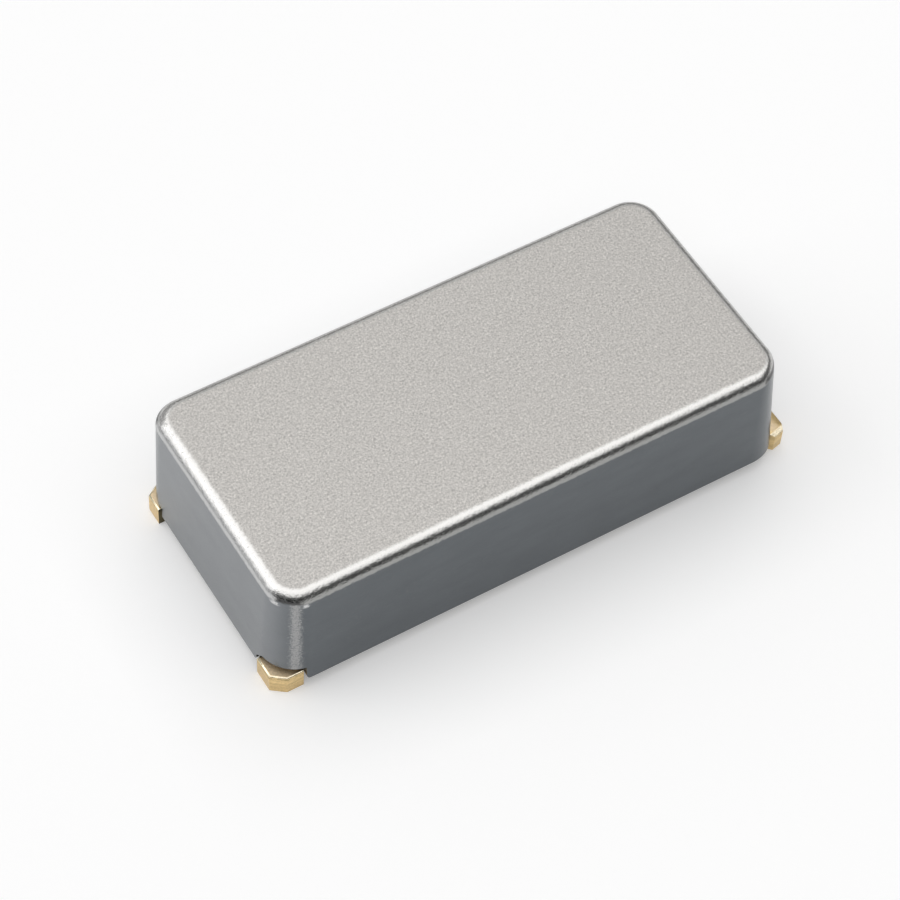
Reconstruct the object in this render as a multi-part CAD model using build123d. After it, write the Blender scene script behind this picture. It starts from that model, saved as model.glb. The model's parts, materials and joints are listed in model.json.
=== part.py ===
from build123d import *
import math
import os

# A surface-mount real-time clock module: a drawn metal can soldered over a ceramic base.
# The base carries eight gold-plated terminals underneath. The four at its corners rise in
# bevelled lugs through notches in the can, and the other four are flat pads.
# Inside, a clock chip lies face down on gold bumps, and a quartz tuning fork is glued by its
# stem to two ceramic steps, so that its tines hang free over the chip.
# Frame: the origin is on the seating plane under the middle of the module, +X runs along its
# length, +Z is up. Terminals 1 to 4 run along the front, on the -Y side, and 5 to 8 run back
# along the rear. All sizes are in millimetres.

# Can, drawn from sheet over a tapered punch, and measured at its rim
can_length = 3.12
can_width = 1.49
can_top = 0.78
can_wall = 0.05
can_draft = 3.2  # degrees that the walls lean in towards the top
rim_height = 0.08  # from the seating plane up to the can's rim
punch_corner_radius = 0.16  # inside radius of the upright corners, at the rim
punch_edge_radius = 0.023  # inside radius round the top
can_shift = -0.03  # along X: the can was soldered on a little off centre

# Ceramic base, and the solder that seals the can to it
base_thickness = 0.22
solder_gap = 0.05  # between the base's edge and the inner wall of a can that sits dead centre
bead_width = 0.10
bead_height = 0.05
bead_bevel = 0.035
bead_opening_radius = 0.08

# Terminals
terminal_pitch = 0.90
terminals_per_side = 4
pad_length = 0.40
corner_pad_length = 0.29  # of a corner terminal, from near the base's end inwards
pad_width = 0.34
pad_thickness = 0.03
pad_inset = 0.01  # from the base's edge
pad_corner_radius = 0.04

# Lugs of the corner terminals: a head outside the can, and a root that sits in the base
lug_height = 0.13
lug_overhang = 0.04  # past the end of a centred can
lug_setback = 0.078  # behind the can's long side
lug_reach_x = 0.06  # from that end inwards
lug_reach_y = 0.215  # from the can's long side inwards
lug_chamfer_x = 0.05
lug_chamfer_y = 0.04
lug_heel = 0.02  # cut off the head's edge beside the can
lug_edge_break = 0.012
root_depth = 0.05  # from the base's end inwards
root_width = 0.06
notch_gap = 0.01  # air between a lug's sides and the can
notch_headroom = 0.015  # air above a lug
notch_corner_radius = 0.03  # where the sides of terminal 1's notch meet the rim

# The lug of terminal 1, which is larger to mark it
index_overhang = 0.027
index_setback = 0.031
index_reach_x = 0.13
index_reach_y = 0.219
index_chamfer_x = 0.073
index_chamfer_y = 0.054
index_heel_x = 0.033
index_heel_y = 0.018

# Gold printed on the base's upper side
print_thickness = 0.01
chip_pad_size = 0.10

# Clock chip, face down on its bumps
chip_length = 1.50
chip_width = 0.90
chip_thickness = 0.12
bumps_per_side = 5
bump_pitch = 0.30
bump_diameter = 0.08
bump_height = 0.03
bump_inset = 0.08  # from the chip's long edge to the row of bumps
chip_step_gap = 0.30  # from the ceramic steps to the chip

# Quartz tuning fork, etched from a wafer
stem_length = 0.75
fork_width = 0.56
fork_thickness = 0.10
tine_slot = 0.12
tine_end_gap = 0.40  # from the tines' ends to the solder bead
groove_length = 0.95
groove_width = 0.12
groove_depth = 0.035
groove_root_gap = 0.06  # from the root of the tines to their grooves
neck_cut_length = 0.08
neck_cut_depth = 0.09
neck_cut_place = 0.50  # from the stem's end
fork_clearance = 0.04  # air between the chip and the fork

# Ceramic steps and glue that carry the fork's stem
step_length = 0.24
step_width = 0.20
step_bead_gap = 0.10  # from the solder bead to the steps
step_inset = 0.01  # from the fork's long edge to a step's outer side
glue_diameter = 0.16
glue_thickness = 0.02

# What follows from the sizes above
inner_length = can_length - 2 * can_wall
inner_width = can_width - 2 * can_wall
base_bottom = pad_thickness
base_top = base_bottom + base_thickness
lean_at_base = (base_top - rim_height) * math.tan(math.radians(can_draft))
base_edge = lean_at_base + solder_gap  # from the can's inner outline at the rim to the base's
base_length = inner_length - 2 * base_edge
base_width = inner_width - 2 * base_edge
base_corner_radius = punch_corner_radius - base_edge
lug_inner_x = can_length / 2 - lug_reach_x
lug_inner_y = can_width / 2 - lug_reach_y
lug_outer_x = can_length / 2 + lug_overhang
lug_outer_y = can_width / 2 - lug_setback
root_inner_x = base_length / 2 - root_depth
root_outer_y = lug_inner_y + root_width
index_inner_x = can_length / 2 - index_reach_x
index_inner_y = can_width / 2 - index_reach_y
index_outer_x = can_length / 2 + index_overhang
index_outer_y = can_width / 2 - index_setback
notch_top = lug_height + notch_headroom
pad_outer_y = base_width / 2 - pad_inset
chip_bottom = base_top + print_thickness + bump_height
fork_bottom = chip_bottom + chip_thickness + fork_clearance
step_top = fork_bottom - glue_thickness - print_thickness
bead_edge = lean_at_base + bead_width  # from the can's inner outline at the rim to the bead's opening
stem_end = -inner_length / 2 + bead_edge + step_bead_gap
step_x = stem_end + step_length / 2
step_y = fork_width / 2 - step_inset - step_width / 2
chip_x = stem_end + step_length + chip_step_gap + chip_length / 2
tine_root = stem_end + stem_length
fork_end = inner_length / 2 - bead_edge - tine_end_gap

corners = [(-1, -1), (1, -1), (1, 1), (-1, 1)]
index_corner = corners[0]


def rounded_slab(length, width, radius, bottom, top):
    """A plate with rounded upright corners, centred on the Z axis."""
    return Pos(0, 0, bottom) * extrude(RectangleRounded(length, width, radius), top - bottom)


def drawn_slab(length, width, radius, top):
    """A slab where the can stands, from its rim's plane up, that tapers by the can's draft."""
    outline = RectangleRounded(length, width, radius)
    return Pos(can_shift, 0, rim_height) * extrude(outline, top - rim_height, taper=can_draft)


def block(x_from, x_to, y_from, y_to, z_from, z_to):
    """A plain block between two planes each way."""
    middle = Pos((x_from + x_to) / 2, (y_from + y_to) / 2, (z_from + z_to) / 2)
    return middle * Box(abs(x_to - x_from), abs(y_to - y_from), abs(z_to - z_from))


def top_edges(solid):
    return solid.faces().sort_by(Axis.Z)[-1].edges()


def make_cavity():
    """The room inside the can's walls, before the radius round its top."""
    return drawn_slab(inner_length, inner_width, punch_corner_radius, can_top - can_wall)


def cavity_slice(bottom, top):
    """The part of that room between two heights."""
    return make_cavity() & block(-can_length, can_length, -can_width, can_width, bottom, top)


def lug_outline(side_x, side_y):
    """A lug seen from above."""
    if (side_x, side_y) == index_corner:
        outline = [
            (index_inner_x, index_inner_y),
            (index_outer_x - index_heel_x, index_inner_y),
            (index_outer_x, index_inner_y + index_heel_y),
            (index_outer_x, index_outer_y - index_chamfer_y),
            (index_outer_x - index_chamfer_x, index_outer_y),
            (index_inner_x, index_outer_y),
        ]
    else:
        outline = [
            (root_inner_x, lug_inner_y),
            (lug_outer_x, lug_inner_y),
            (lug_outer_x, lug_outer_y - lug_chamfer_y),
            (lug_outer_x - lug_chamfer_x, lug_outer_y),
            (lug_inner_x + lug_heel, lug_outer_y),
            (lug_inner_x, lug_outer_y - lug_heel),
            (lug_inner_x, root_outer_y),
            (root_inner_x, root_outer_y),
        ]
    return Polygon(*[(side_x * x, side_y * y) for x, y in outline], align=None)


def lug_block(side_x, side_y, margin, height):
    """A block with a lug's outline, or one larger by an even margin."""
    outline = lug_outline(side_x, side_y)
    if margin:
        outline = offset(outline, margin, kind=Kind.INTERSECTION)
    return extrude(outline, height, dir=(0, 0, 1))


def make_index_notch():
    """What is cut away for terminal 1's lug: a corner, and the rim rounded on both sides of it."""
    notch_x = notch_gap - index_inner_x
    notch_y = notch_gap - index_inner_y
    round_x = notch_x + notch_corner_radius
    round_y = notch_y + notch_corner_radius
    round_z = rim_height + notch_corner_radius
    notch = block(-can_length, notch_x, -can_width, notch_y, 0, notch_top)
    front = block(notch_x, round_x, -can_width, 0, rim_height, round_z)
    front -= Pos(round_x, 0, round_z) * Rot(90, 0, 0) * Cylinder(notch_corner_radius, 2 * can_width)
    left = block(-can_length, 0, notch_y, round_y, rim_height, round_z)
    left -= Pos(0, round_y, round_z) * Rot(0, 90, 0) * Cylinder(notch_corner_radius, 2 * can_length)
    return [notch, front, left]


def make_can():
    """Even-walled drawn shell, open below, with a notch at each corner for a lug."""
    outside = drawn_slab(can_length, can_width, punch_corner_radius + can_wall, can_top)
    outside = fillet(top_edges(outside), punch_edge_radius + can_wall)
    inside = make_cavity()
    inside = fillet(top_edges(inside), punch_edge_radius)
    can = outside - inside
    for side_x, side_y in corners:
        if (side_x, side_y) != index_corner:
            can -= lug_block(side_x, side_y, notch_gap, notch_top)
    return can - make_index_notch()


def make_ceramic_base():
    """Fired plate with a seat cut under each corner for a lug, and two steps for the fork."""
    base = rounded_slab(base_length, base_width, base_corner_radius, base_bottom, base_top)
    for side_x, side_y in corners:
        base -= lug_block(side_x, side_y, 0, lug_height)
    for side_y in (-1, 1):
        step = extrude(Rectangle(step_length, step_width), step_top - base_top)
        base += Pos(step_x, side_y * step_y, base_top) * step
    return base


def make_seal_ring():
    """Solder that fills the gap round the base and stands in a bead against the can's wall."""
    bead_top = base_top + bead_height
    opening_length = inner_length - 2 * bead_edge
    opening_width = inner_width - 2 * bead_edge
    gap_fill = cavity_slice(notch_top, base_top)
    gap_fill -= rounded_slab(base_length, base_width, base_corner_radius, notch_top, base_top)
    bead = cavity_slice(base_top, bead_top)
    opening = rounded_slab(opening_length, opening_width, bead_opening_radius, base_top, bead_top)
    bead -= Pos(can_shift, 0) * opening
    inner_edges = bead.faces().sort_by(Axis.Z)[-1].inner_wires()[0].edges()
    return gap_fill + chamfer(inner_edges, bead_bevel)


def make_flat_pad(x_from, x_to, side_y):
    """Plated pad under the base, between two places along its length."""
    outline = RectangleRounded(x_to - x_from, pad_width, pad_corner_radius)
    place = Pos((x_from + x_to) / 2, side_y * (pad_outer_y - pad_width / 2))
    return extrude(place * outline, pad_thickness)


def make_corner_terminal(side_x, side_y):
    """Pad with a bevelled lug, which rises in its seat and stands out through the can's notch."""
    lug = lug_block(side_x, side_y, 0, lug_height)
    is_index = (side_x, side_y) == index_corner
    inner_x = index_inner_x if is_index else lug_inner_x
    inner_y = index_inner_y if is_index else lug_inner_y
    outer_edges = [
        edge
        for edge in top_edges(lug)
        if side_x * edge.center().X > inner_x + lug_edge_break / 2
        and side_y * edge.center().Y > inner_y + lug_edge_break / 2
    ]
    lug = chamfer(outer_edges, lug_edge_break)
    pad_to = base_length / 2 - pad_inset
    pad_ends = sorted((side_x * (pad_to - corner_pad_length), side_x * pad_to))
    return lug + make_flat_pad(*pad_ends, side_y)


def make_terminals():
    """The eight terminals in order: along the front from the left, then back along the rear."""
    terminals = []
    last = terminals_per_side - 1
    for side_y in (-1, 1):
        for place in range(terminals_per_side):
            x = -side_y * (place - last / 2) * terminal_pitch
            if place in (0, last):
                terminals.append(make_corner_terminal(1 if x > 0 else -1, side_y))
            else:
                terminals.append(make_flat_pad(x - pad_length / 2, x + pad_length / 2, side_y))
    return terminals


def bump_places():
    """Where the chip's bumps stand: a row along each long edge."""
    row_y = chip_width / 2 - bump_inset
    first_x = chip_x - (bumps_per_side - 1) / 2 * bump_pitch
    row_x = [first_x + step * bump_pitch for step in range(bumps_per_side)]
    return [(x, side_y * row_y) for side_y in (-1, 1) for x in row_x]


def make_chip_pads():
    pad = extrude(Rectangle(chip_pad_size, chip_pad_size), print_thickness)
    return Compound([Pos(x, y, base_top) * pad for x, y in bump_places()])


def make_chip_bumps():
    """Gold balls squashed between the base's pads and the chip."""
    bump = Sphere(bump_diameter / 2) & Box(bump_diameter, bump_diameter, bump_height)
    bump_z = base_top + print_thickness + bump_height / 2
    return Compound([Pos(x, y, bump_z) * bump for x, y in bump_places()])


def make_clock_chip():
    chip = extrude(Rectangle(chip_length, chip_width), chip_thickness)
    return Pos(chip_x, 0, chip_bottom) * chip


def make_quartz_fork():
    """Two tines on a stem, with a groove along both faces of each tine."""
    blank = Pos((stem_end + fork_end) / 2, 0) * Rectangle(fork_end - stem_end, fork_width)
    slot_root = tine_root + tine_slot / 2
    slot = Pos((slot_root + fork_end) / 2, 0) * Rectangle(fork_end - slot_root, tine_slot)
    slot += Pos(slot_root, 0) * Circle(tine_slot / 2)
    outline = blank - slot
    for side_y in (-1, 1):
        neck_place = Pos(stem_end + neck_cut_place, side_y * fork_width / 2)
        outline -= neck_place * Rectangle(neck_cut_length, 2 * neck_cut_depth)
    fork = Pos(0, 0, fork_bottom) * extrude(outline, fork_thickness)
    groove_x = tine_root + groove_root_gap + groove_length / 2
    tine_y = (fork_width + tine_slot) / 4
    groove = Box(groove_length, groove_width, 2 * groove_depth)
    for side_y in (-1, 1):
        for face_z in (fork_bottom, fork_bottom + fork_thickness):
            fork -= Pos(groove_x, side_y * tine_y, face_z) * groove
    return fork


def make_crystal_pad(side_y):
    """Gold on top of a ceramic step, under the fork's stem."""
    pad = extrude(Rectangle(step_length, step_width), print_thickness)
    return Pos(step_x, side_y * step_y, step_top) * pad


def make_adhesive_dot(side_y):
    """Conductive glue between a step's pad and the fork's stem."""
    dot = extrude(Circle(glue_diameter / 2), glue_thickness)
    return Pos(step_x, side_y * step_y, step_top + print_thickness) * dot


pieces = {
    "can": make_can(),
    "ceramic_base": make_ceramic_base(),
    "seal_ring": make_seal_ring(),
    "chip_pads": make_chip_pads(),
    "chip_bumps": make_chip_bumps(),
    "clock_chip": make_clock_chip(),
    "quartz_fork": make_quartz_fork(),
    "crystal_pad_front": make_crystal_pad(-1),
    "crystal_pad_rear": make_crystal_pad(1),
    "adhesive_dot_front": make_adhesive_dot(-1),
    "adhesive_dot_rear": make_adhesive_dot(1),
}
for number, terminal in enumerate(make_terminals(), start=1):
    pieces[f"terminal_{number}"] = terminal

os.makedirs("parts", exist_ok=True)
for name, shape in pieces.items():
    export_step(shape, f"parts/{name}.step")
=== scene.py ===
# %% [markdown]
# A real-time clock module, dressed for the camera
#
# The object is a tiny surface-mount part, 3.2 mm long: a drawn metal can soldered over a ceramic
# base, with bevelled gold lugs standing in notches at the can's corners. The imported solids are
# exact but coarse, so this lesson keeps every flat piece, draws the can again with smooth bends,
# and then spends its effort on the finishes: blasted nickel, burnished bends and satin gold.

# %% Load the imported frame
import json
import math
import bmesh
import bpy
from mathutils import Matrix, Vector


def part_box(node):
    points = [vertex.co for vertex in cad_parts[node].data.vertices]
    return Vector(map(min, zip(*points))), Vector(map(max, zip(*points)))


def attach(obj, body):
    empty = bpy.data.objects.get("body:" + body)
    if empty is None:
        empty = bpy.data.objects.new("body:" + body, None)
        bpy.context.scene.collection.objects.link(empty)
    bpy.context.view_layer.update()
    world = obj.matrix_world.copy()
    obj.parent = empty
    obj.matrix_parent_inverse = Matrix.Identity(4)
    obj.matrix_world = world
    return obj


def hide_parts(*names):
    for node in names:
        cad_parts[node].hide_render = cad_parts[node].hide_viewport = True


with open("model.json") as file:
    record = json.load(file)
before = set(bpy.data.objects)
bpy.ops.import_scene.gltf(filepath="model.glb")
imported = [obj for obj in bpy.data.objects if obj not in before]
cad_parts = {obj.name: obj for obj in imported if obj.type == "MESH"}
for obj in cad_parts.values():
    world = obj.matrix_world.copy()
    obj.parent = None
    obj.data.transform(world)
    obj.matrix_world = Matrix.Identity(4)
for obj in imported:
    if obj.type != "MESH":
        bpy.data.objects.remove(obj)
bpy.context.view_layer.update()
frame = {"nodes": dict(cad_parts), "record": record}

mm = 0.001

# %% [markdown]
# The camera
#
# The photograph was taken from the front left and high up, through a long lens. A camera could be
# nudged until it looks right, but here its angles, distance and lens were worked out from the
# straight edges of the can, so they are set as they are. The aim is a little off the can's middle,
# because the object doesn't sit in the middle of the picture.

# %% Place the camera
picture_side = 900  # pixels
focal_pixels = 3012.6
sensor_width = 36.0
camera_azimuth = math.radians(-34.945)
camera_elevation = math.radians(54.007)
camera_roll = math.radians(4.539)
camera_distance = 15.8635 * mm
aim_height = 0.4 * mm
aim_right = -0.0922 * mm
aim_up = -0.1006 * mm
near_clip = 0.1 * mm

can_low, can_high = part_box("can")
can_middle = (can_low + can_high) / 2

toward_camera = Vector((math.sin(camera_azimuth) * math.cos(camera_elevation),
                        -math.cos(camera_azimuth) * math.cos(camera_elevation),
                        math.sin(camera_elevation)))
level_right = Vector((math.cos(camera_azimuth), math.sin(camera_azimuth), 0))
level_up = toward_camera.cross(level_right)
picture_right = math.cos(camera_roll) * level_right + math.sin(camera_roll) * level_up
picture_up = math.cos(camera_roll) * level_up - math.sin(camera_roll) * level_right
aim = Vector((can_middle.x, can_middle.y, aim_height)) + aim_right * picture_right + aim_up * picture_up
camera_place = aim + camera_distance * toward_camera

camera_data = bpy.data.cameras.new("camera")
camera_data.sensor_width = sensor_width
camera_data.lens = focal_pixels / picture_side * sensor_width
camera_data.clip_start = near_clip
camera = bpy.data.objects.new("camera", camera_data)
bpy.context.scene.collection.objects.link(camera)
axes = Matrix((picture_right, picture_up, toward_camera)).transposed()
camera.matrix_world = Matrix.Translation(camera_place) @ axes.to_4x4()
bpy.context.scene.camera = camera
print("lens", round(camera_data.lens, 2), "mm")

# %% [markdown]
# Small helpers
#
# Both shader trees and geometry trees are built from nodes and links. A few helpers add a node, set
# its properties and fill its sockets with either a value or a link, so the cells below read as
# lists of steps.

# %% Helpers for node trees
def fill(tree, socket, value):
    """Gives a socket a link or a value."""
    if isinstance(value, bpy.types.NodeSocket):
        tree.links.new(value, socket)
    else:
        socket.default_value = value


def add(tree, kind, inputs=None, **settings):
    """Adds a node, sets its properties, and fills its inputs with values or links."""
    node = tree.nodes.new(kind)
    for name, value in settings.items():
        setattr(node, name, value)
    for key, value in (inputs or {}).items():
        fill(tree, node.inputs[key], value)
    return node


def calc(tree, operation, first, second=0.0, clamp=False):
    """One step of arithmetic on numbers or links."""
    node = add(tree, "ShaderNodeMath", {0: first, 1: second}, operation=operation, use_clamp=clamp)
    return node.outputs[0]


def parts(tree, value):
    """The X, Y and Z of a vector."""
    return add(tree, "ShaderNodeSeparateXYZ", {0: value}).outputs


def group_of(kind, name, inputs, outputs):
    """A node group with named sockets, and its input and output nodes."""
    tree = bpy.data.node_groups.new(name, kind)
    for side, sockets in (("INPUT", inputs), ("OUTPUT", outputs)):
        for label, socket_type in sockets:
            tree.interface.new_socket(label, in_out=side, socket_type=socket_type)
    return tree, tree.nodes.new("NodeGroupInput").outputs, tree.nodes.new("NodeGroupOutput").inputs


number = "NodeSocketFloat"
whole = "NodeSocketInt"
vector = "NodeSocketVector"
shape = "NodeSocketGeometry"
block = "NodeSocketObject"

# %% [markdown]
# Shared surface effects
#
# Two effects turn up in more than one finish. Grain is the fine pitting of blasted or fired
# surfaces. Streaks are the lines that a die or a cutter leaves, so their noise is stretched along
# one direction. Both are measured in millimetres, because a pattern written in metres would
# need scales in the hundred thousands.

# %% Shader groups for grain and streaks
grain_detail = 2.0
fleck_share = 2.3  # how much finer the second layer of grain is


def noise(tree, place, scale):
    """Cloudy noise between 0 and 1."""
    inputs = {"Vector": place, "Scale": scale, "Detail": grain_detail}
    return add(tree, "ShaderNodeTexNoise", inputs).outputs[0]


def make_grain():
    """Fine pitting: a tone near 1 that varies by the contrast, and a height for a bump."""
    tree, given, out = group_of("ShaderNodeTree", "grain",
                                [("Place", vector), ("Size", number), ("Contrast", number)],
                                [("Tone", number), ("Height", number)])
    scale = calc(tree, "DIVIDE", 1.0, given["Size"])
    coarse = noise(tree, given["Place"], scale)
    fine = noise(tree, given["Place"], calc(tree, "MULTIPLY", scale, fleck_share))
    both = calc(tree, "ADD", coarse, fine)
    centred = calc(tree, "SUBTRACT", both, 1.0)
    swing = calc(tree, "MULTIPLY", centred, given["Contrast"])
    tree.links.new(calc(tree, "ADD", swing, 1.0), out["Tone"])
    tree.links.new(calc(tree, "MULTIPLY", both, 0.5), out["Height"])
    return tree


def make_streaks():
    """Lines along one direction: the place is squeezed by the pattern's size on each axis."""
    tree, given, out = group_of("ShaderNodeTree", "streaks",
                                [("Place", vector), ("Size", vector), ("Contrast", number)],
                                [("Tone", number), ("Height", number)])
    squeezed = add(tree, "ShaderNodeVectorMath", {0: given["Place"], 1: given["Size"]}, operation="DIVIDE")
    lines = noise(tree, squeezed.outputs[0], 1.0)
    centred = calc(tree, "SUBTRACT", lines, 0.5)
    swing = calc(tree, "MULTIPLY", centred, given["Contrast"])
    tree.links.new(calc(tree, "ADD", swing, 1.0), out["Tone"])
    tree.links.new(lines, out["Height"])
    return tree


grain_group = make_grain()
streak_group = make_streaks()
print("effects", grain_group.name, streak_group.name)


# %% Helpers for materials
def new_finish(name):
    """A material with its shader, and Object coordinates in millimetres."""
    finish = bpy.data.materials.new(name)
    finish.use_nodes = True
    tree = finish.node_tree
    shader = tree.nodes["Principled BSDF"]
    seat = add(tree, "ShaderNodeTexCoord").outputs["Object"]
    place = add(tree, "ShaderNodeVectorMath", {0: seat, "Scale": 1 / mm}, operation="SCALE").outputs[0]
    return finish, tree, shader, place


def use(tree, group, **values):
    """Places a shared effect and fills its inputs by name."""
    node = tree.nodes.new("ShaderNodeGroup")
    node.node_tree = group
    for name, value in values.items():
        fill(tree, node.inputs[name], value)
    return node.outputs


def blend(tree, share, first, second):
    """A mix of two colours."""
    return add(tree, "ShaderNodeMix", {0: share, 6: first, 7: second}, data_type="RGBA").outputs[2]


def tinted(tree, base, tone):
    """A colour made lighter or darker by a tone near 1."""
    return add(tree, "ShaderNodeVectorMath", {0: base, "Scale": tone}, operation="SCALE").outputs[0]


def ramp(tree, value, low, high):
    """0 below low, 1 above high, smooth between."""
    return add(tree, "ShaderNodeMapRange", {"Value": value, "From Min": low, "From Max": high},
               interpolation_type="SMOOTHSTEP").outputs[0]


def hump(tree, value, start, rise, fall, end):
    """0 below start and above end, 1 between rise and fall."""
    up = ramp(tree, value, start, rise)
    return calc(tree, "MULTIPLY", up, calc(tree, "SUBTRACT", 1.0, ramp(tree, value, fall, end)))


def facing(tree):
    """The X, Y and Z of the surface's normal."""
    return parts(tree, add(tree, "ShaderNodeTexCoord").outputs["Normal"])


def bumped(tree, shader, height, depth):
    """Feeds a height in millimetres of depth to the shader's normal."""
    bump = add(tree, "ShaderNodeBump", {"Height": height, "Distance": depth * mm, "Strength": 1.0})
    tree.links.new(bump.outputs[0], shader.inputs["Normal"])


# %% [markdown]
# The can's finish
#
# A drawn nickel can has three zones. Its top was blasted and is matt with a fine speckle. The bend
# round the top was ironed by the die and is smoother, so it shows the lamps as bands; where it faces
# the rear it is painted darker, as painted shade. The walls are painted a bluish grey that is dark as
# painted shade, darker on the long walls than on the ends. Under the bend a paler band is painted as
# a reflection; painted shade darkens it at the upright corners and in a thin line on the ends, painted
# highlights sit where it breaks off beside the left corners, and a pale painted reflection runs down
# the corners of the left half. Two measures tell the zones apart: the height gives the angle of the
# surface on the bend, and the normal gives the angle round a corner.

# %% Colours of the nickel
top_colour = (0.578, 0.559, 0.535, 1)
bend_colour = (0.82, 0.81, 0.79, 1)
# painted shade: bends that face the rear or the right are darker
rear_bend_shade = (0.50, 0.495, 0.48, 1)
# painted reflection: the band under the bend, darker on the long walls as painted shade
long_band_reflection = (0.36, 0.36, 0.35, 1)
end_band_reflection = (0.55, 0.55, 0.55, 1)
# painted shade: the walls are dark, and the long walls are darker than the ends
long_wall_shade = (0.126, 0.138, 0.148, 1)
end_wall_shade = (0.222, 0.233, 0.245, 1)
# painted reflection: the pale strip down the left corners
corner_reflection_colour = (0.35, 0.35, 0.35, 1)
# painted shade: where the band meets an upright corner
corner_shade_colour = (0.09, 0.09, 0.09, 1)
# painted highlight: the spots where the band breaks off
spot_highlight_colour = (0.60, 0.60, 0.60, 1)
# painted shadow: the end of the front wall beside the notch of terminal 1
gap_shadow_colour = (0.04, 0.033, 0.027, 1)

# %% Where a point lies on the can
can_top = can_high.z / mm
edge_radius = 0.073
right_angle = math.pi / 2
rear_span = (-0.2, 0.6)  # of the normal's X and Y together


def around_and_up(tree, place):
    """How far a point lies round a corner, from an end wall (0) to a long wall (1), how far its angle
    and its height are up the bend, and whether it looks to the rear or the right (1)."""
    above = calc(tree, "SUBTRACT", parts(tree, place)["Z"], can_top - edge_radius)
    climb = calc(tree, "DIVIDE", above, edge_radius)
    lean = calc(tree, "ARCSINE", calc(tree, "MAXIMUM", climb, 0.0))
    lift = calc(tree, "DIVIDE", lean, right_angle)
    normal = facing(tree)
    across = calc(tree, "ABSOLUTE", normal["Y"])
    sideways = calc(tree, "ARCTAN2", across, calc(tree, "ABSOLUTE", normal["X"]))
    rear = ramp(tree, calc(tree, "ADD", normal["X"], normal["Y"]), *rear_span)
    return calc(tree, "DIVIDE", sideways, right_angle), lift, climb, rear


def frayed(tree, value, tone, amount):
    """A measure shaken by a grain, so that the edges drawn from it are ragged."""
    shake = calc(tree, "MULTIPLY", calc(tree, "SUBTRACT", tone, 1.0), amount)
    return calc(tree, "ADD", value, shake)


# %% The walls: blotched grey, painted dark as shade, with a painted reflection down the left corners
long_span = (0.16, 0.84)
left_span = (0.6, -0.6)  # along X
corner_reflection_span = (0.55, 0.68, 0.71, 0.84)
blotch_size = (0.25, 0.25, 0.08)
blotch_contrast = 0.22
fleck_size = 0.010
fleck_contrast = 2.2


def shaded_wall(tree, place, turn, toward_long, left_half):
    """The colour of a wall, painted dark as shade, with a pale painted reflection down the left corners.
    """
    blotches = use(tree, streak_group, Place=place, Size=blotch_size, Contrast=blotch_contrast)
    wall_shade = blend(tree, toward_long, end_wall_shade, long_wall_shade)
    flecks = use(tree, grain_group, Place=place, Size=fleck_size, Contrast=fleck_contrast)
    left_flecks = calc(tree, "MULTIPLY", flecks["Tone"], left_half)
    corner_reflection = calc(tree, "MULTIPLY", hump(tree, turn, *corner_reflection_span), left_flecks, clamp=True)
    return blend(tree, corner_reflection, tinted(tree, wall_shade, blotches["Tone"]), corner_reflection_colour)


# %% The painted reflection band under the bend, its painted shade, and the painted highlights where it breaks off
corner_span = (0.22, 0.36, 0.74, 0.88)
corner_shade_span = (0.06, 0.14, 0.3, 0.5)
# painted shade: the thin dark line in the band on the ends
shade_line_span = (0.26, 0.33, 0.36, 0.44)
shade_line_strength = 0.3
band_span = (0.02, 0.16)
corner_setback = 0.06
end_spot_span = (0.16, 0.24, 0.30, 0.40)
long_spot_span = (0.80, 0.87, 0.90, 0.97)
spot_rise = (-0.3, -0.1, 0.06, 0.2)


def banded_wall(tree, with_painted_light, turn, lift, toward_long):
    """A wall with its painted reflection band, which is painted dark at the corners and along a thin line
    on the ends as painted shade.
    """
    corner = hump(tree, turn, *corner_span)
    corner_shade = calc(tree, "MULTIPLY", corner, hump(tree, lift, *corner_shade_span))
    on_end = calc(tree, "MULTIPLY", calc(tree, "SUBTRACT", 1.0, toward_long), shade_line_strength)
    hard_edge_or_shade_line = calc(tree, "MULTIPLY", on_end, hump(tree, lift, *shade_line_span))
    band_reflection = blend(tree, toward_long, end_band_reflection, long_band_reflection)
    band = blend(tree, calc(tree, "MAXIMUM", corner_shade, hard_edge_or_shade_line), band_reflection, corner_shade_colour)
    held_back = calc(tree, "SUBTRACT", lift, calc(tree, "MULTIPLY", corner, corner_setback))
    return blend(tree, ramp(tree, held_back, *band_span), with_painted_light, band)


def highlight_spots(tree, turn, climb, left_half):
    """1 on the painted highlights where the band breaks off beside a left corner."""
    ends = calc(tree, "ADD", hump(tree, turn, *end_spot_span), hump(tree, turn, *long_spot_span))
    spots = calc(tree, "MULTIPLY", ends, hump(tree, climb, *spot_rise))
    return calc(tree, "MULTIPLY", spots, left_half)


# %% Painted shadow on the end of the front wall beside the notch of terminal 1
shadow_low_span = (0.20, 0.19)  # along Z
shadow_beside_span = (-1.50, -1.47)  # along X
shadow_facing_span = (-0.7, -0.9)  # of the normal's X


def gap_shadow(tree, place):
    """1 where a painted shadow lies on the end of the front wall."""
    spot = parts(tree, place)
    low = ramp(tree, spot["Z"], *shadow_low_span)
    beside = calc(tree, "MULTIPLY", low, ramp(tree, spot["X"], *shadow_beside_span))
    return calc(tree, "MULTIPLY", beside, ramp(tree, facing(tree)["X"], *shadow_facing_span))


# %% Satin nickel
speckle_size = 0.012
ragged_size = 0.02
wave_size = 0.03
turn_fray = 0.16
lift_fray = 0.14
bend_span = (0.34, 0.74)
top_span = (0.80, 0.99)
wave_span = (0.05, 0.2, 0.7, 0.9)
wave_strength = 2.5
bend_roughness = 0.25
top_roughness = 0.46
nickel_relief = 0.0014


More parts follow.
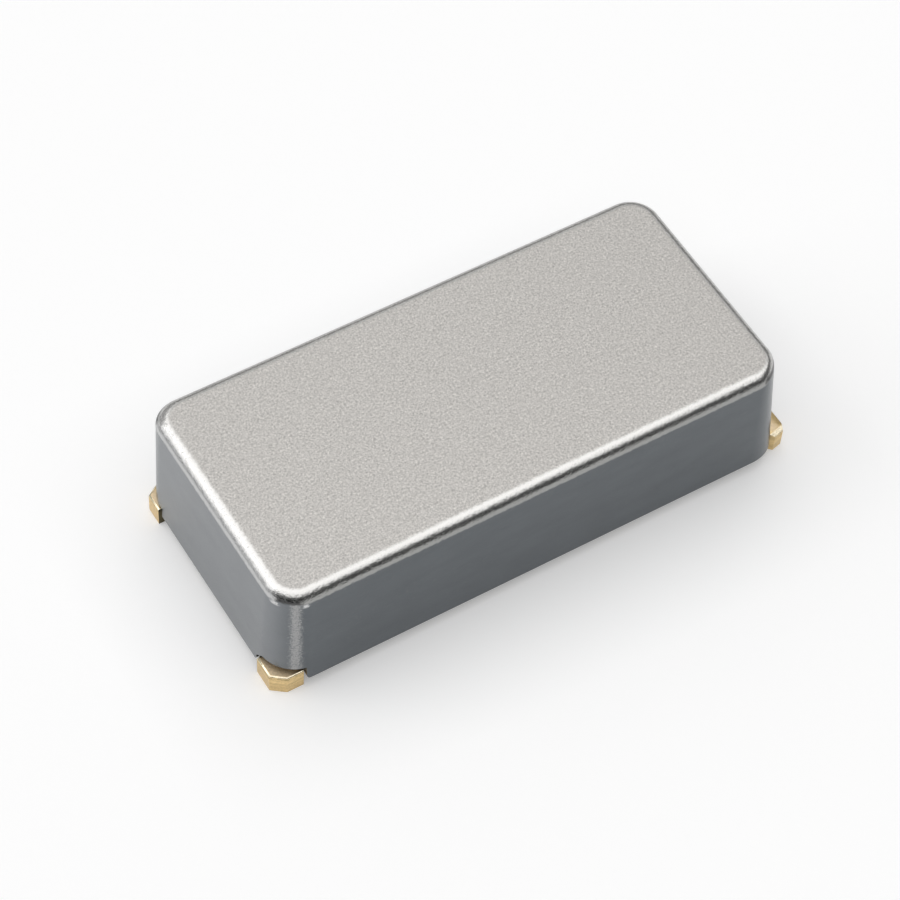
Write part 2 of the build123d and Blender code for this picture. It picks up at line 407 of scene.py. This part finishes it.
def make_nickel():
    finish, tree, shader, place = new_finish("satin_nickel")
    true_turn, true_lift, climb, rear = around_and_up(tree, place)
    speckle = use(tree, grain_group, Place=place, Size=speckle_size, Contrast=1.0)
    ragged = use(tree, grain_group, Place=place, Size=ragged_size, Contrast=1.0)
    turn = frayed(tree, true_turn, speckle["Tone"], turn_fray)
    lift = frayed(tree, true_lift, ragged["Tone"], lift_fray)
    toward_long = ramp(tree, true_turn, *long_span)
    left_half = ramp(tree, parts(tree, place)["X"], *left_span)

    # The walls are painted dark as shade, with a pale painted reflection down the left corners.
    with_painted_light = shaded_wall(tree, place, turn, toward_long, left_half)
    # The band under the bend is a painted reflection, with painted shade at the corners and in a line on
    # the ends.
    banded = banded_wall(tree, with_painted_light, turn, lift, toward_long)
    # Painted highlights where the band breaks off beside the left corners.
    highlighted = blend(tree, highlight_spots(tree, turn, climb, left_half), banded, spot_highlight_colour)
    # The bend is painted darker where it faces the rear or the right, as painted shade.
    bend_with_rear_shade = blend(tree, rear, bend_colour, rear_bend_shade)
    sides = blend(tree, ramp(tree, lift, *bend_span), highlighted, bend_with_rear_shade)
    on_top = ramp(tree, lift, *top_span)
    plated = blend(tree, on_top, sides, tinted(tree, top_colour[:3], speckle["Tone"]))
    # A painted shadow on the end of the front wall beside the notch of terminal 1.
    coloured = blend(tree, gap_shadow(tree, place), plated, gap_shadow_colour)
    tree.links.new(coloured, shader.inputs["Base Color"])

    shader.inputs["Metallic"].default_value = 1.0
    rough = add(tree, "ShaderNodeMapRange",
                {"Value": on_top, "To Min": bend_roughness, "To Max": top_roughness}).outputs[0]
    tree.links.new(rough, shader.inputs["Roughness"])
    on_band = calc(tree, "MULTIPLY", hump(tree, true_lift, *wave_span), wave_strength)
    waves = use(tree, grain_group, Place=place, Size=wave_size, Contrast=1.0)
    rough_band = calc(tree, "MULTIPLY", waves["Height"], on_band)
    bumped(tree, shader, calc(tree, "ADD", speckle["Height"], rough_band), nickel_relief)
    return finish


nickel = make_nickel()
print("finish", nickel.name)

# %% [markdown]
# The can
#
# A press pushes a sheet through a die, so the can is one wall line carried round a rounded
# rectangle. That is a rule, so Geometry Nodes draw it: the wall's section is a poly curve whose
# point radii say how far each bend is rounded, the die's outline is a filleted quadrilateral, and
# Curve to Mesh carries one along the other. The top and the ceiling close it, and two opposite
# corners are pushed a hair askew, which brings the outline closer to the photograph. Notches in the
# corners follow the outlines of the gold lugs with a thin gap, so the lugs are laid out first. At
# terminal 1 the whole corner is open.

# %% Sizes of the can
can_length = (can_high.x - can_low.x) / mm
can_width = (can_high.y - can_low.y) / mm
rim_height = can_low.z / mm
can_wall = 0.05
can_lean = math.tan(math.radians(3.2))
corner_radius = 0.21
inner_edge_radius = 0.023
rim_edge_radius = 0.007
cap_inset = 0.13
ceiling = can_top - can_wall
askew_low = 0.014
askew_high = -0.013
corner_steps = 28
bend_steps = 22
print("can", round(can_length, 3), round(can_width, 3), "rim at", round(rim_height, 3))

# %% Outlines of the lugs, seen from above in the quarter where X and Y are positive
lug_height = 0.13
lug_outer_x = 1.60
lug_inner_y = 0.52
root_inner_x, root_outer_y = 1.4005, 0.59


def common_lug(inner_x, end_y, side_y, chamfer, heel):
    """A lug with its root in the base, whose outer corner is cut off and whose long side may slant."""
    chamfer_x, chamfer_y = chamfer
    return [
        (root_inner_x, lug_inner_y),
        (lug_outer_x, lug_inner_y),
        (lug_outer_x, end_y - chamfer_y),
        (lug_outer_x - chamfer_x, end_y),
        (inner_x + heel, side_y),
        (inner_x, side_y - heel),
        (inner_x, root_outer_y),
        (root_inner_x, root_outer_y),
    ]


index_inner_x, index_outer_x = 1.426, 1.596
index_inner_y, index_outer_y = 0.520, 0.718
index_chamfer_x, index_chamfer_y = 0.074, 0.056
index_heel_x, index_heel_y = 0.040, 0.014
index_lug = [
    (index_inner_x, index_inner_y),
    (index_outer_x - index_heel_x, index_inner_y),
    (index_outer_x, index_inner_y + index_heel_y),
    (index_outer_x, index_outer_y - index_chamfer_y),
    (index_outer_x - index_chamfer_x, index_outer_y),
    (index_inner_x, index_outer_y),
]

corners = {"terminal_1": (-1, -1), "terminal_4": (1, -1), "terminal_5": (1, 1), "terminal_8": (-1, 1)}
lugs = {
    "terminal_1": index_lug,
    "terminal_4": common_lug(inner_x=1.484, end_y=0.668, side_y=0.683, chamfer=(0.016, 0.040), heel=0.038),
    "terminal_5": common_lug(inner_x=1.50, end_y=0.667, side_y=0.667, chamfer=(0.050, 0.040), heel=0.020),
    "terminal_8": common_lug(inner_x=1.50, end_y=0.662, side_y=0.676, chamfer=(0.050, 0.034), heel=0.012),
}


def lug_outline(name):
    """The outline of a corner's lug in its own quarter."""
    side_x, side_y = corners[name]
    return [(side_x * x, side_y * y) for x, y in lugs[name]]


# %% Helpers for blocks
def grown(outline, margins):
    """An outline whose sides are moved outwards, each by its own margin."""
    points = [Vector(point) for point in outline]
    area = sum(points[i - 1].cross(points[i]) for i in range(len(points)))
    sides = []
    for i, point in enumerate(points):
        way = (points[(i + 1) % len(points)] - point).normalized()
        out = math.copysign(1, area) * Vector((way.y, -way.x))
        sides.append((point + out * margins[i], way))
    moved = []
    for i, (start, way) in enumerate(sides):
        start_before, way_before = sides[i - 1]
        reach = (start - start_before).cross(way) / way_before.cross(way)
        moved.append(start_before + way_before * reach)
    return moved


def add_stack(mesh, rings):
    """Adds a closed body to a mesh in the making, from rings of points one after another."""
    loops = [[mesh.verts.new(point) for point in ring] for ring in rings]
    mesh.faces.new(loops[0])
    mesh.faces.new(loops[-1])
    for lower, upper in zip(loops, loops[1:]):
        for i in range(len(lower)):
            mesh.faces.new((lower[i - 1], lower[i], upper[i], upper[i - 1]))
    bmesh.ops.recalc_face_normals(mesh, faces=mesh.faces)


def add_block(mesh, ring, along):
    """Adds a closed block: a flat ring of points, carried along a way."""
    add_stack(mesh, [ring, [Vector(point) + Vector(along) for point in ring]])


def new_piece(name, mesh):
    """An object in the scene from a mesh in the making."""
    data = bpy.data.meshes.new(name)
    mesh.to_mesh(data)
    mesh.free()
    piece = bpy.data.objects.new(name, data)
    bpy.context.scene.collection.objects.link(piece)
    return piece


# %% Cutters for the notches, and for the rounded rim beside the notch of terminal 1
notch_gap = 0.006
end_gap = 0.02
notch_top = 0.145
index_notch_top = 0.18
index_notch_slope = 0.05
notch_corner_radius = 0.03
arc_steps = 8
cutter_lap = 0.004


def rounding_ring(edge):
    """What rounds a rim off beside a notch whose side is at edge: pairs of place and height."""
    middle = edge + notch_corner_radius
    below = rim_height - cutter_lap
    ring = [
        (edge - cutter_lap, rim_height + notch_corner_radius),
        (edge - cutter_lap, below),
        (middle, below),
    ]
    for step in range(arc_steps + 1):
        angle = math.pi * (1.5 - 0.5 * step / arc_steps)
        ring.append((middle + notch_corner_radius * math.cos(angle),
                     rim_height + notch_corner_radius * (1 + math.sin(angle))))
    return ring


def notch_outline(name):
    """What a notch is cut to: the lug's outline with a gap, and for terminal 1 the whole corner."""
    if name != "terminal_1":
        return grown(lug_outline(name), [end_gap] + [notch_gap] * (len(lugs[name]) - 1))
    edge_x = notch_gap - index_inner_x
    edge_y = notch_gap - index_inner_y
    return [(edge_x, edge_y), (edge_x, -can_width), (-can_length, -can_width), (-can_length, edge_y)]


def make_notches():
    mesh = bmesh.new()
    for name in corners:
        outline = notch_outline(name)
        levels = [(outline, -notch_top), (outline, notch_top)]
        if name == "terminal_1":
            levels = [(outline, -notch_top), (outline, lug_height),
                      (grown(outline, (0, 0, 0, -index_notch_slope)), index_notch_top)]
        add_stack(mesh, [[(x, y, z) for x, y in points] for points, z in levels])
    return new_piece("notches", mesh)


def make_roundings():
    mesh = bmesh.new()
    front = [(x, -can_width / 2 - notch_gap, z) for x, z in rounding_ring(notch_gap - index_inner_x)]
    add_block(mesh, front, (0, 2 * can_wall + notch_gap, 0))
    left = [(-index_outer_x - 2 * notch_gap, y, z) for y, z in rounding_ring(notch_gap - index_inner_y)]
    add_block(mesh, left, (2 * can_wall + notch_gap, 0, 0))
    return new_piece("roundings", mesh)


# %% The wall's section, from the ceiling down, under the rim and up to the top
wall_section = [
    (cap_inset, ceiling, 0),
    (can_wall + can_lean * (ceiling - rim_height), ceiling, inner_edge_radius),
    (can_wall, rim_height, rim_edge_radius),
    (0, rim_height, rim_edge_radius),
    (can_lean * (can_top - rim_height), can_top, edge_radius),
    (cap_inset, can_top, 0),
]


def section_curve(name, points):
    """A poly curve in its own plane, with a bend radius at each point."""
    curve = bpy.data.curves.new(name, "CURVE")
    spline = curve.splines.new("POLY")
    spline.points.add(len(points) - 1)
    for point, (inset, height, bend) in zip(spline.points, points):
        point.co = (-inset, -height, 0, 1)
        point.radius = bend
    piece = bpy.data.objects.new(name, curve)
    bpy.context.scene.collection.objects.link(piece)
    return piece


# %% The press: a geometry tree that draws the can
lengths = ("Length", "Width", "Corner Radius", "Rim", "Top", "Ceiling", "Shift", "Askew Low", "Askew High")
counts = ("Corner Steps", "Bend Steps")
cutters = ("Notches", "Roundings")
press_inputs = [("Geometry", shape)] + [(label, number) for label in lengths]
press_inputs += [(label, whole) for label in counts] + [(label, block) for label in cutters]
weld = 1e-5


def rounded_outline(tree, length, width, radius, steps):
    """A rectangle with rounded corners, whose normals lie flat."""
    box = add(tree, "GeometryNodeCurvePrimitiveQuadrilateral", {"Width": length, "Height": width})
    bends = {"Curve": box.outputs[0], "Count": steps, "Radius": radius}
    bent = add(tree, "GeometryNodeFilletCurve", bends, mode="POLY")
    return add(tree, "GeometryNodeSetCurveNormal", {"Curve": bent.outputs[0]}, mode="Z_UP").outputs[0]


def swept_wall(tree, given):
    """The wall's section, rounded at its bends and carried round the die's outline."""
    radii = add(tree, "GeometryNodeInputRadius").outputs[0]
    bends = {"Curve": given["Geometry"], "Count": given["Bend Steps"], "Radius": radii}
    section = add(tree, "GeometryNodeFilletCurve", bends, mode="POLY").outputs[0]
    die = rounded_outline(tree, given["Length"], given["Width"], given["Corner Radius"],
                          given["Corner Steps"])
    swept = add(tree, "GeometryNodeCurveToMesh", {"Curve": die, "Profile Curve": section})
    return add(tree, "GeometryNodeFlipFaces", {"Mesh": swept.outputs[0]}).outputs[0]


def height_of(tree):
    """How high a point of the geometry is."""
    return parts(tree, add(tree, "GeometryNodeInputPosition").outputs[0])["Z"]


def shifted(tree, geometry, **way):
    """A geometry moved along one axis."""
    reach = add(tree, "ShaderNodeCombineXYZ", way).outputs[0]
    return add(tree, "GeometryNodeTransform", {"Geometry": geometry, "Translation": reach}).outputs[0]


# %% Close the wall with a top and a ceiling
def closed_shell(tree, given, wall):
    """The wall with two sheets, which are filled in from the wall's own open edges."""
    neighbours = add(tree, "GeometryNodeInputMeshEdgeNeighbors").outputs[0]
    open_edge = calc(tree, "COMPARE", neighbours, 1.0)
    middle = calc(tree, "MULTIPLY", calc(tree, "ADD", given["Top"], given["Ceiling"]), 0.5)
    joined = add(tree, "GeometryNodeJoinGeometry")
    for label, side in (("Top", "GREATER_THAN"), ("Ceiling", "LESS_THAN")):
        chosen = calc(tree, "MULTIPLY", open_edge, calc(tree, side, height_of(tree), middle))
        loop = add(tree, "GeometryNodeMeshToCurve", {"Mesh": wall, "Selection": chosen}).outputs[0]
        sheet = add(tree, "GeometryNodeFillCurve", {"Curve": loop}, mode="NGONS").outputs[0]
        if label == "Ceiling":
            sheet = add(tree, "GeometryNodeFlipFaces", {"Mesh": sheet}).outputs[0]
        tree.links.new(shifted(tree, sheet, Z=given[label]), joined.inputs[0])
    tree.links.new(wall, joined.inputs[0])
    welded = add(tree, "GeometryNodeMergeByDistance", {"Geometry": joined.outputs[0], "Distance": weld})
    return shifted(tree, welded.outputs[0], X=given["Shift"])


# %% Push two corners askew, cut the notches and smooth the rest
askew_way = (0.82, -0.57, 0)
askew_gain = -2.0  # makes the product of the normal's X and Y 1 in the middle of these corners
crease_angle = math.radians(35)


def pushed_askew(tree, given, shell):
    """The shell with its left rear and right front corners pushed sideways, low and high apart."""
    normal = parts(tree, add(tree, "GeometryNodeInputNormal").outputs[0])
    across = calc(tree, "MULTIPLY", normal["Y"], askew_gain)
    cornered = calc(tree, "MULTIPLY", normal["X"], across, clamp=True)
    lean = add(tree, "ShaderNodeMapRange",
               {"Value": height_of(tree), "From Min": given["Rim"], "From Max": given["Top"],
                "To Min": given["Askew Low"], "To Max": given["Askew High"]}).outputs[0]
    reach = calc(tree, "MULTIPLY", cornered, lean)
    push = add(tree, "ShaderNodeVectorMath", {0: askew_way, "Scale": reach}, operation="SCALE").outputs[0]
    return add(tree, "GeometryNodeSetPosition", {"Geometry": shell, "Offset": push}).outputs[0]


def notched(tree, given, shell):
    """The shell with the notches cut out, and then the rim rounded off beside one of them."""
    cut = shell
    for label in cutters:
        blocks = add(tree, "GeometryNodeObjectInfo", {"Object": given[label]}).outputs["Geometry"]
        cut = add(tree, "GeometryNodeMeshBoolean", {"Mesh 1": cut, "Mesh 2": blocks},
                  operation="DIFFERENCE", solver="EXACT").outputs[0]
    return cut


def smoothed(tree, geometry):
    """Smooth shading, with hard edges where the surface turns sharply."""
    turn = add(tree, "GeometryNodeInputMeshEdgeAngle").outputs["Unsigned Angle"]
    hard_edge_or_shade_line = add(tree, "FunctionNodeCompare", {0: turn, 1: crease_angle}, data_type="FLOAT",
                 operation="GREATER_THAN").outputs[0]
    smooth = add(tree, "GeometryNodeSetShadeSmooth", {"Geometry": geometry, "Shade Smooth": True},
                 domain="FACE").outputs[0]
    hard = {"Geometry": smooth, "Selection": hard_edge_or_shade_line, "Shade Smooth": False}
    return add(tree, "GeometryNodeSetShadeSmooth", hard, domain="EDGE").outputs[0]


def make_press():
    tree, given, out = group_of("GeometryNodeTree", "press", press_inputs, [("Geometry", shape)])
    shell = closed_shell(tree, given, swept_wall(tree, given))
    cut = smoothed(tree, notched(tree, given, pushed_askew(tree, given, shell)))
    metres = add(tree, "GeometryNodeTransform", {"Geometry": cut, "Scale": (mm, mm, mm)})
    real = add(tree, "GeometryNodeRealizeInstances", {"Geometry": metres.outputs[0]})
    dressed = add(tree, "GeometryNodeSetMaterial", {"Geometry": real.outputs[0], "Material": nickel})
    tree.links.new(dressed.outputs[0], out["Geometry"])
    return tree


# %% Helpers that turn modifiers into plain meshes
def plain_mesh(piece):
    """The mesh that a piece and its modifiers make."""
    view = bpy.context.evaluated_depsgraph_get()
    return bpy.data.meshes.new_from_object(piece.evaluated_get(view), depsgraph=view)


def run_tree(piece, tree, values):
    """Runs a geometry tree on a curve and returns the result as a plain mesh object."""
    modifier = piece.modifiers.new(tree.name, "NODES")
    modifier.node_group = tree
    for socket in tree.interface.items_tree:
        if socket.in_out == "INPUT" and socket.name in values:
            modifier[socket.identifier] = values[socket.name]
    mesh = plain_mesh(piece)
    name = piece.name
    curve = piece.data
    bpy.data.objects.remove(piece)
    bpy.data.curves.remove(curve)
    made = bpy.data.objects.new(name, mesh)
    bpy.context.scene.collection.objects.link(made)
    return made


def settle(piece):
    """Turns a piece with its modifiers into a plain mesh."""
    mesh = plain_mesh(piece)
    piece.modifiers.clear()
    piece.data = mesh


# %% Draw the can
notches = make_notches()
roundings = make_roundings()
can = run_tree(section_curve("drawn_can", wall_section), make_press(), {
    "Length": can_length, "Width": can_width, "Corner Radius": corner_radius, "Rim": rim_height,
    "Top": can_top, "Ceiling": ceiling, "Shift": can_middle.x / mm, "Askew Low": askew_low,
    "Askew High": askew_high, "Corner Steps": corner_steps, "Bend Steps": bend_steps,
    "Notches": notches, "Roundings": roundings})
bpy.data.objects.remove(notches)
bpy.data.objects.remove(roundings)
can.modifiers.new("flat_walls", "WEIGHTED_NORMAL").keep_sharp = True
settle(can)
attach(can, "root")
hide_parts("can")
print("can faces", len(can.data.polygons))

# %% [markdown]
# Gold terminals
#
# The four flat pads are kept as they are packed. The corner terminals are blocks of fired metal with
# gold plating, and what makes them look like metal is the bright line along every softened edge,
# which the lamps draw and a painted highlight strengthens. A bevel modifier could round all edges
# alike, but here a shallow bevel runs along chosen outward sides of the top only, so each lug is
# stacked from three rings, softened, and then joined to its pad. The bevel is polished and painted
# bright as a highlight, the level tops are painted paler as painted light, a painted shadow line runs
# under the bevel on the left, and the end that faces the can's middle is painted dark as shade.

# %% Colours of the gold, and where its zones begin and end
gold_colour = (0.69, 0.515, 0.26, 1)
# painted light: the level tops are paler
level_lit_colour = (0.88, 0.72, 0.50, 1)
# painted highlight: bevels and softened edges
edge_highlight_colour = (0.98, 0.86, 0.64, 1)
# painted shade: the lug ends that face the can's middle, and the line under the bevel
lug_shade_colour = (0.10, 0.082, 0.04, 1)
edge_highlight_span = (0.3, 0.5, 0.94, 0.985)  # of the normal's Z
level_span = (0.985, 0.998)
shaded_end_span = (-0.6, -0.9)  # of the normal's Y, counted away from the can's middle
shadow_line_span = (0.109, 0.112, 0.113, 0.117)  # along Z
shadow_line_side = (0.0, -1.6)  # along X
broken_size = 0.05
broken_span = (0.85, 1.1)


def lug_shade(tree, place, normal):
    """1 where shade is painted: on the lug ends that face the can's middle, and in a broken shadow line
    round the left ones.
    """
    spot = parts(tree, place)
    inward = calc(tree, "MULTIPLY", normal["Y"], calc(tree, "SIGN", spot["Y"]))
    shaded_end = ramp(tree, inward, *shaded_end_span)
    shadow_line = hump(tree, spot["Z"], *shadow_line_span)
    patches = use(tree, grain_group, Place=place, Size=broken_size, Contrast=1.0)
    broken = ramp(tree, patches["Tone"], *broken_span)
    on_left = calc(tree, "MULTIPLY", broken, ramp(tree, spot["X"], *shadow_line_side))
    return calc(tree, "MAXIMUM", shaded_end, calc(tree, "MULTIPLY", shadow_line, on_left))


# %% Satin gold
line_size = (0.3, 0.3, 0.018)
line_contrast = 0.7
pit_size = 0.012
pit_contrast = 0.5
side_roughness = 0.30
level_roughness = 0.55
polish = 0.15
gold_relief = 0.0009


def make_gold(name):
    finish, tree, shader, place = new_finish(name)
    normal = facing(tree)
    edge_highlight = hump(tree, normal["Z"], *edge_highlight_span)
    level = ramp(tree, normal["Z"], *level_span)
    # The level tops are painted paler, as painted light.
    faces = blend(tree, level, gold_colour, level_lit_colour)
    # Painted shade on the lug ends that face the can's middle, and a painted shadow line on the left.
    with_painted_light = blend(tree, lug_shade(tree, place, normal), faces, lug_shade_colour)
    # Bevels and softened edges are painted bright, as a painted highlight.
    plated = blend(tree, edge_highlight, with_painted_light, edge_highlight_colour)
    lines = use(tree, streak_group, Place=place, Size=line_size, Contrast=line_contrast)
    pits = use(tree, grain_group, Place=place, Size=pit_size, Contrast=pit_contrast)
    tone = calc(tree, "MULTIPLY", lines["Tone"], pits["Tone"])
    tree.links.new(tinted(tree, plated, tone), shader.inputs["Base Color"])
    shader.inputs["Metallic"].default_value = 1.0
    dull = add(tree, "ShaderNodeMapRange",
               {"Value": level, "To Min": side_roughness, "To Max": level_roughness}).outputs[0]
    rough = calc(tree, "SUBTRACT", dull, calc(tree, "MULTIPLY", edge_highlight, polish))
    tree.links.new(rough, shader.inputs["Roughness"])
    bumped(tree, shader, calc(tree, "ADD", lines["Height"], pits["Height"]), gold_relief)
    return finish


gold = make_gold("satin_gold")
print("finish", gold.name)

# %% The corner terminals
bevels = {  # which sides of the outline, how far in and how far down
    "terminal_1": ((1, 2, 3, 4), 0.009, 0.0055),
    "terminal_4": ((3,), 0.026, 0.0105),
    "terminal_5": ((2, 3), 0.016, 0.009),
    "terminal_8": ((1, 2), 0.008, 0.005),
}
lug_edge_radius = 0.0022
lug_edge_steps = 2
flat_angle = 0.1
pad_height = 0.03
pad_corner_radius = 0.04
pad_corner_steps = 8
pad_inner_x, pad_outer_x = 1.1505, 1.4405
pad_inner_y, pad_outer_y = 0.2855, 0.6255
pad_outline = [
    (pad_inner_x, pad_inner_y),
    (pad_outer_x, pad_inner_y),
    (pad_outer_x, pad_outer_y),
    (pad_inner_x, pad_outer_y),
]


def soften(mesh, edges, width, steps):
    """Rounds edges off."""
    bmesh.ops.bevel(mesh, geom=edges, offset=width, segments=steps, profile=0.5, affect="EDGES",
                    clamp_overlap=True)


def rise(edge):
    """How much higher one end of an edge is than the other."""
    return abs(edge.verts[0].co.z - edge.verts[1].co.z)


def make_lug(name):
    """A lug with a shallow bevel along sides of its top, whose level edges are a little soft."""
    outline = lug_outline(name)
    sides, inset, drop = bevels[name]
    margins = [-inset if i in sides else 0 for i in range(len(outline))]
    levels = [(outline, 0), (outline, lug_height - drop), (grown(outline, margins), lug_height)]
    mesh = bmesh.new()
    add_stack(mesh, [[(x * mm, y * mm, z * mm) for x, y in points] for points, z in levels])
    level = [edge for edge in mesh.edges if rise(edge) < weld * mm and edge.verts[0].co.z > 0]
    edges = [edge for edge in level if edge.calc_face_angle() > flat_angle]
    soften(mesh, edges, lug_edge_radius * mm, lug_edge_steps)
    return new_piece("corner_" + name, mesh)


def make_pad(name):
    """The flat pad of a corner terminal."""
    side_x, side_y = corners[name]
    mesh = bmesh.new()
    ring = [(side_x * x * mm, side_y * y * mm, 0) for x, y in pad_outline]
    add_block(mesh, ring, (0, 0, pad_height * mm))
    upright = [edge for edge in mesh.edges if rise(edge) > weld * mm]
    soften(mesh, upright, pad_corner_radius * mm, pad_corner_steps)
    return new_piece("pad", mesh)


# %% Join each lug to its pad
for name in corners:
    lug = make_lug(name)
    pad = make_pad(name)
    joint = lug.modifiers.new("join", "BOOLEAN")
    joint.object = pad
    joint.operation = "UNION"
    joint.solver = "EXACT"
    settle(lug)
    bpy.data.objects.remove(pad)
    lug.data.shade_smooth()
    lug.data.set_sharp_from_angle(angle=crease_angle)
    lug.modifiers.new("flat_sides", "WEIGHTED_NORMAL").keep_sharp = True
    settle(lug)
    lug.data.materials.clear()
    lug.data.materials.append(gold)
    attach(lug, "root")
    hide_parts(name)
    print(lug.name, "faces", len(lug.data.polygons))

# %% [markdown]
# The base and what is inside
#
# The ceramic is dark, matt and slightly grainy. The can hides the pieces inside it, but they are
# dressed as well, because the part may be opened or cut through by its next user.

# %% Ceramic, solder, silicon, quartz and glue
def make_plain(name, base, metallic, roughness, grain, contrast, relief):
    """A finish with grain in its colour and in its relief."""
    finish, tree, shader, place = new_finish(name)
    pits = use(tree, grain_group, Place=place, Size=grain, Contrast=contrast)
    tree.links.new(tinted(tree, base, pits["Tone"]), shader.inputs["Base Color"])
    shader.inputs["Metallic"].default_value = metallic
    shader.inputs["Roughness"].default_value = roughness
    bumped(tree, shader, pits["Height"], relief)
    return finish


ceramic = make_plain("fired_ceramic", base=(0.03, 0.028, 0.028), metallic=0.0, roughness=0.62,
                     grain=0.014, contrast=0.5, relief=0.0015)
solder = make_plain("gold_tin_solder", base=(0.62, 0.47, 0.27), metallic=1.0, roughness=0.36,
                    grain=0.03, contrast=0.25, relief=0.001)
silicon = make_plain("silicon", base=(0.055, 0.06, 0.075), metallic=0.0, roughness=0.12,
                     grain=0.05, contrast=0.2, relief=0.0001)
quartz = make_plain("quartz", base=(0.78, 0.81, 0.83), metallic=0.0, roughness=0.3,
                    grain=0.02, contrast=0.1, relief=0.0003)
glue = make_plain("silver_glue", base=(0.45, 0.45, 0.44), metallic=0.6, roughness=0.5,
                  grain=0.008, contrast=0.5, relief=0.0012)
inner_gold = make_gold("inner_gold")

dress = {"nickel_can": nickel, "fired_ceramic": ceramic, "gold_tin_solder": solder, "gold_terminal": gold,
         "silicon": silicon, "inner_gold": inner_gold, "quartz": quartz, "silver_glue": glue}

# %% Give every node its finish
slots = {row["node"]: row["material_slot"] for row in frame["record"]["subparts"]}
for name, node in frame["nodes"].items():
    node.data.materials.clear()
    node.data.materials.append(dress[slots[name]])
print("dressed", len(slots), "nodes")

# %% [markdown]
# Floor and light
#
# Polished metal shows what stands round it, so the lamps are placed for their reflections: a broad
# softbox overhead for the top and the bright line along the bend, one at the back left for the end
# wall, and a room that is pale behind and dim on the camera's side, which gives the dark line under
# the bright one together with the shade painted on the can's band. The floor is white paper. A little
# glow, which only the camera and shiny surfaces see, lifts it to white and leaves the shadow on it.

# %% Floor
floor_side = 4.0
floor_colour = (0.9, 0.9, 0.9, 1)
floor_roughness = 0.9
floor_glow = 0.26
half = floor_side / 2
floor_corners = [(-half, -half, 0), (half, -half, 0), (half, half, 0), (-half, half, 0)]
floor_data = bpy.data.meshes.new("floor")
floor_data.from_pydata(floor_corners, [], [(0, 1, 2, 3)])
floor = bpy.data.objects.new("floor", floor_data)
bpy.context.scene.collection.objects.link(floor)

paper, paper_tree, paper_shader = new_finish("white_paper")[:3]
paper_shader.inputs["Base Color"].default_value = floor_colour
paper_shader.inputs["Roughness"].default_value = floor_roughness
paper_shader.inputs["Specular IOR Level"].default_value = 0.0
paper_shader.inputs["Emission Color"].default_value = (1, 1, 1, 1)
rays = add(paper_tree, "ShaderNodeLightPath").outputs
mirrored = calc(paper_tree, "ADD", rays["Is Glossy Ray"], rays["Is Transmission Ray"])
seen = calc(paper_tree, "ADD", rays["Is Camera Ray"], mirrored, clamp=True)
glow = calc(paper_tree, "MULTIPLY", seen, floor_glow)
paper_tree.links.new(glow, paper_shader.inputs["Emission Strength"])
floor_data.materials.append(paper)
print("floor", floor_side, "m wide")


# %% Lamps
def softbox(name, place, width, depth, brightness):
    """A rectangular lamp that faces the object, whose surface is as bright as given."""
    lamp = bpy.data.lights.new(name, "AREA")
    lamp.shape = "RECTANGLE"
    lamp.size = width
    lamp.size_y = depth
    lamp.energy = brightness * math.pi * width * depth
    holder = bpy.data.objects.new(name, lamp)
    holder.location = place
    holder.rotation_euler = Vector(place).to_track_quat("Z", "Y").to_euler()
    bpy.context.scene.collection.objects.link(holder)


softbox("overhead", place=(0.0, 0.0, 1.2), width=2.2, depth=2.4, brightness=1.0)
softbox("back_left", place=(-1.5, 0.75, 1.0), width=1.4, depth=1.4, brightness=1.15)

# %% The room
dim_side = 0.09
pale_side = 0.36
dim_way, pale_way = -0.5, 1.0  # along Y
world = bpy.data.worlds.new("room")
world.use_nodes = True
room = world.node_tree
way = parts(room, add(room, "ShaderNodeTexCoord").outputs["Generated"])["Y"]
shade = add(room, "ShaderNodeMapRange",
            {"Value": way, "From Min": dim_way, "From Max": pale_way,
             "To Min": dim_side, "To Max": pale_side}, interpolation_type="SMOOTHSTEP").outputs[0]
room.links.new(shade, room.nodes["Background"].inputs["Color"])
bpy.context.scene.world = world
bpy.context.scene.view_settings.view_transform = "Standard"
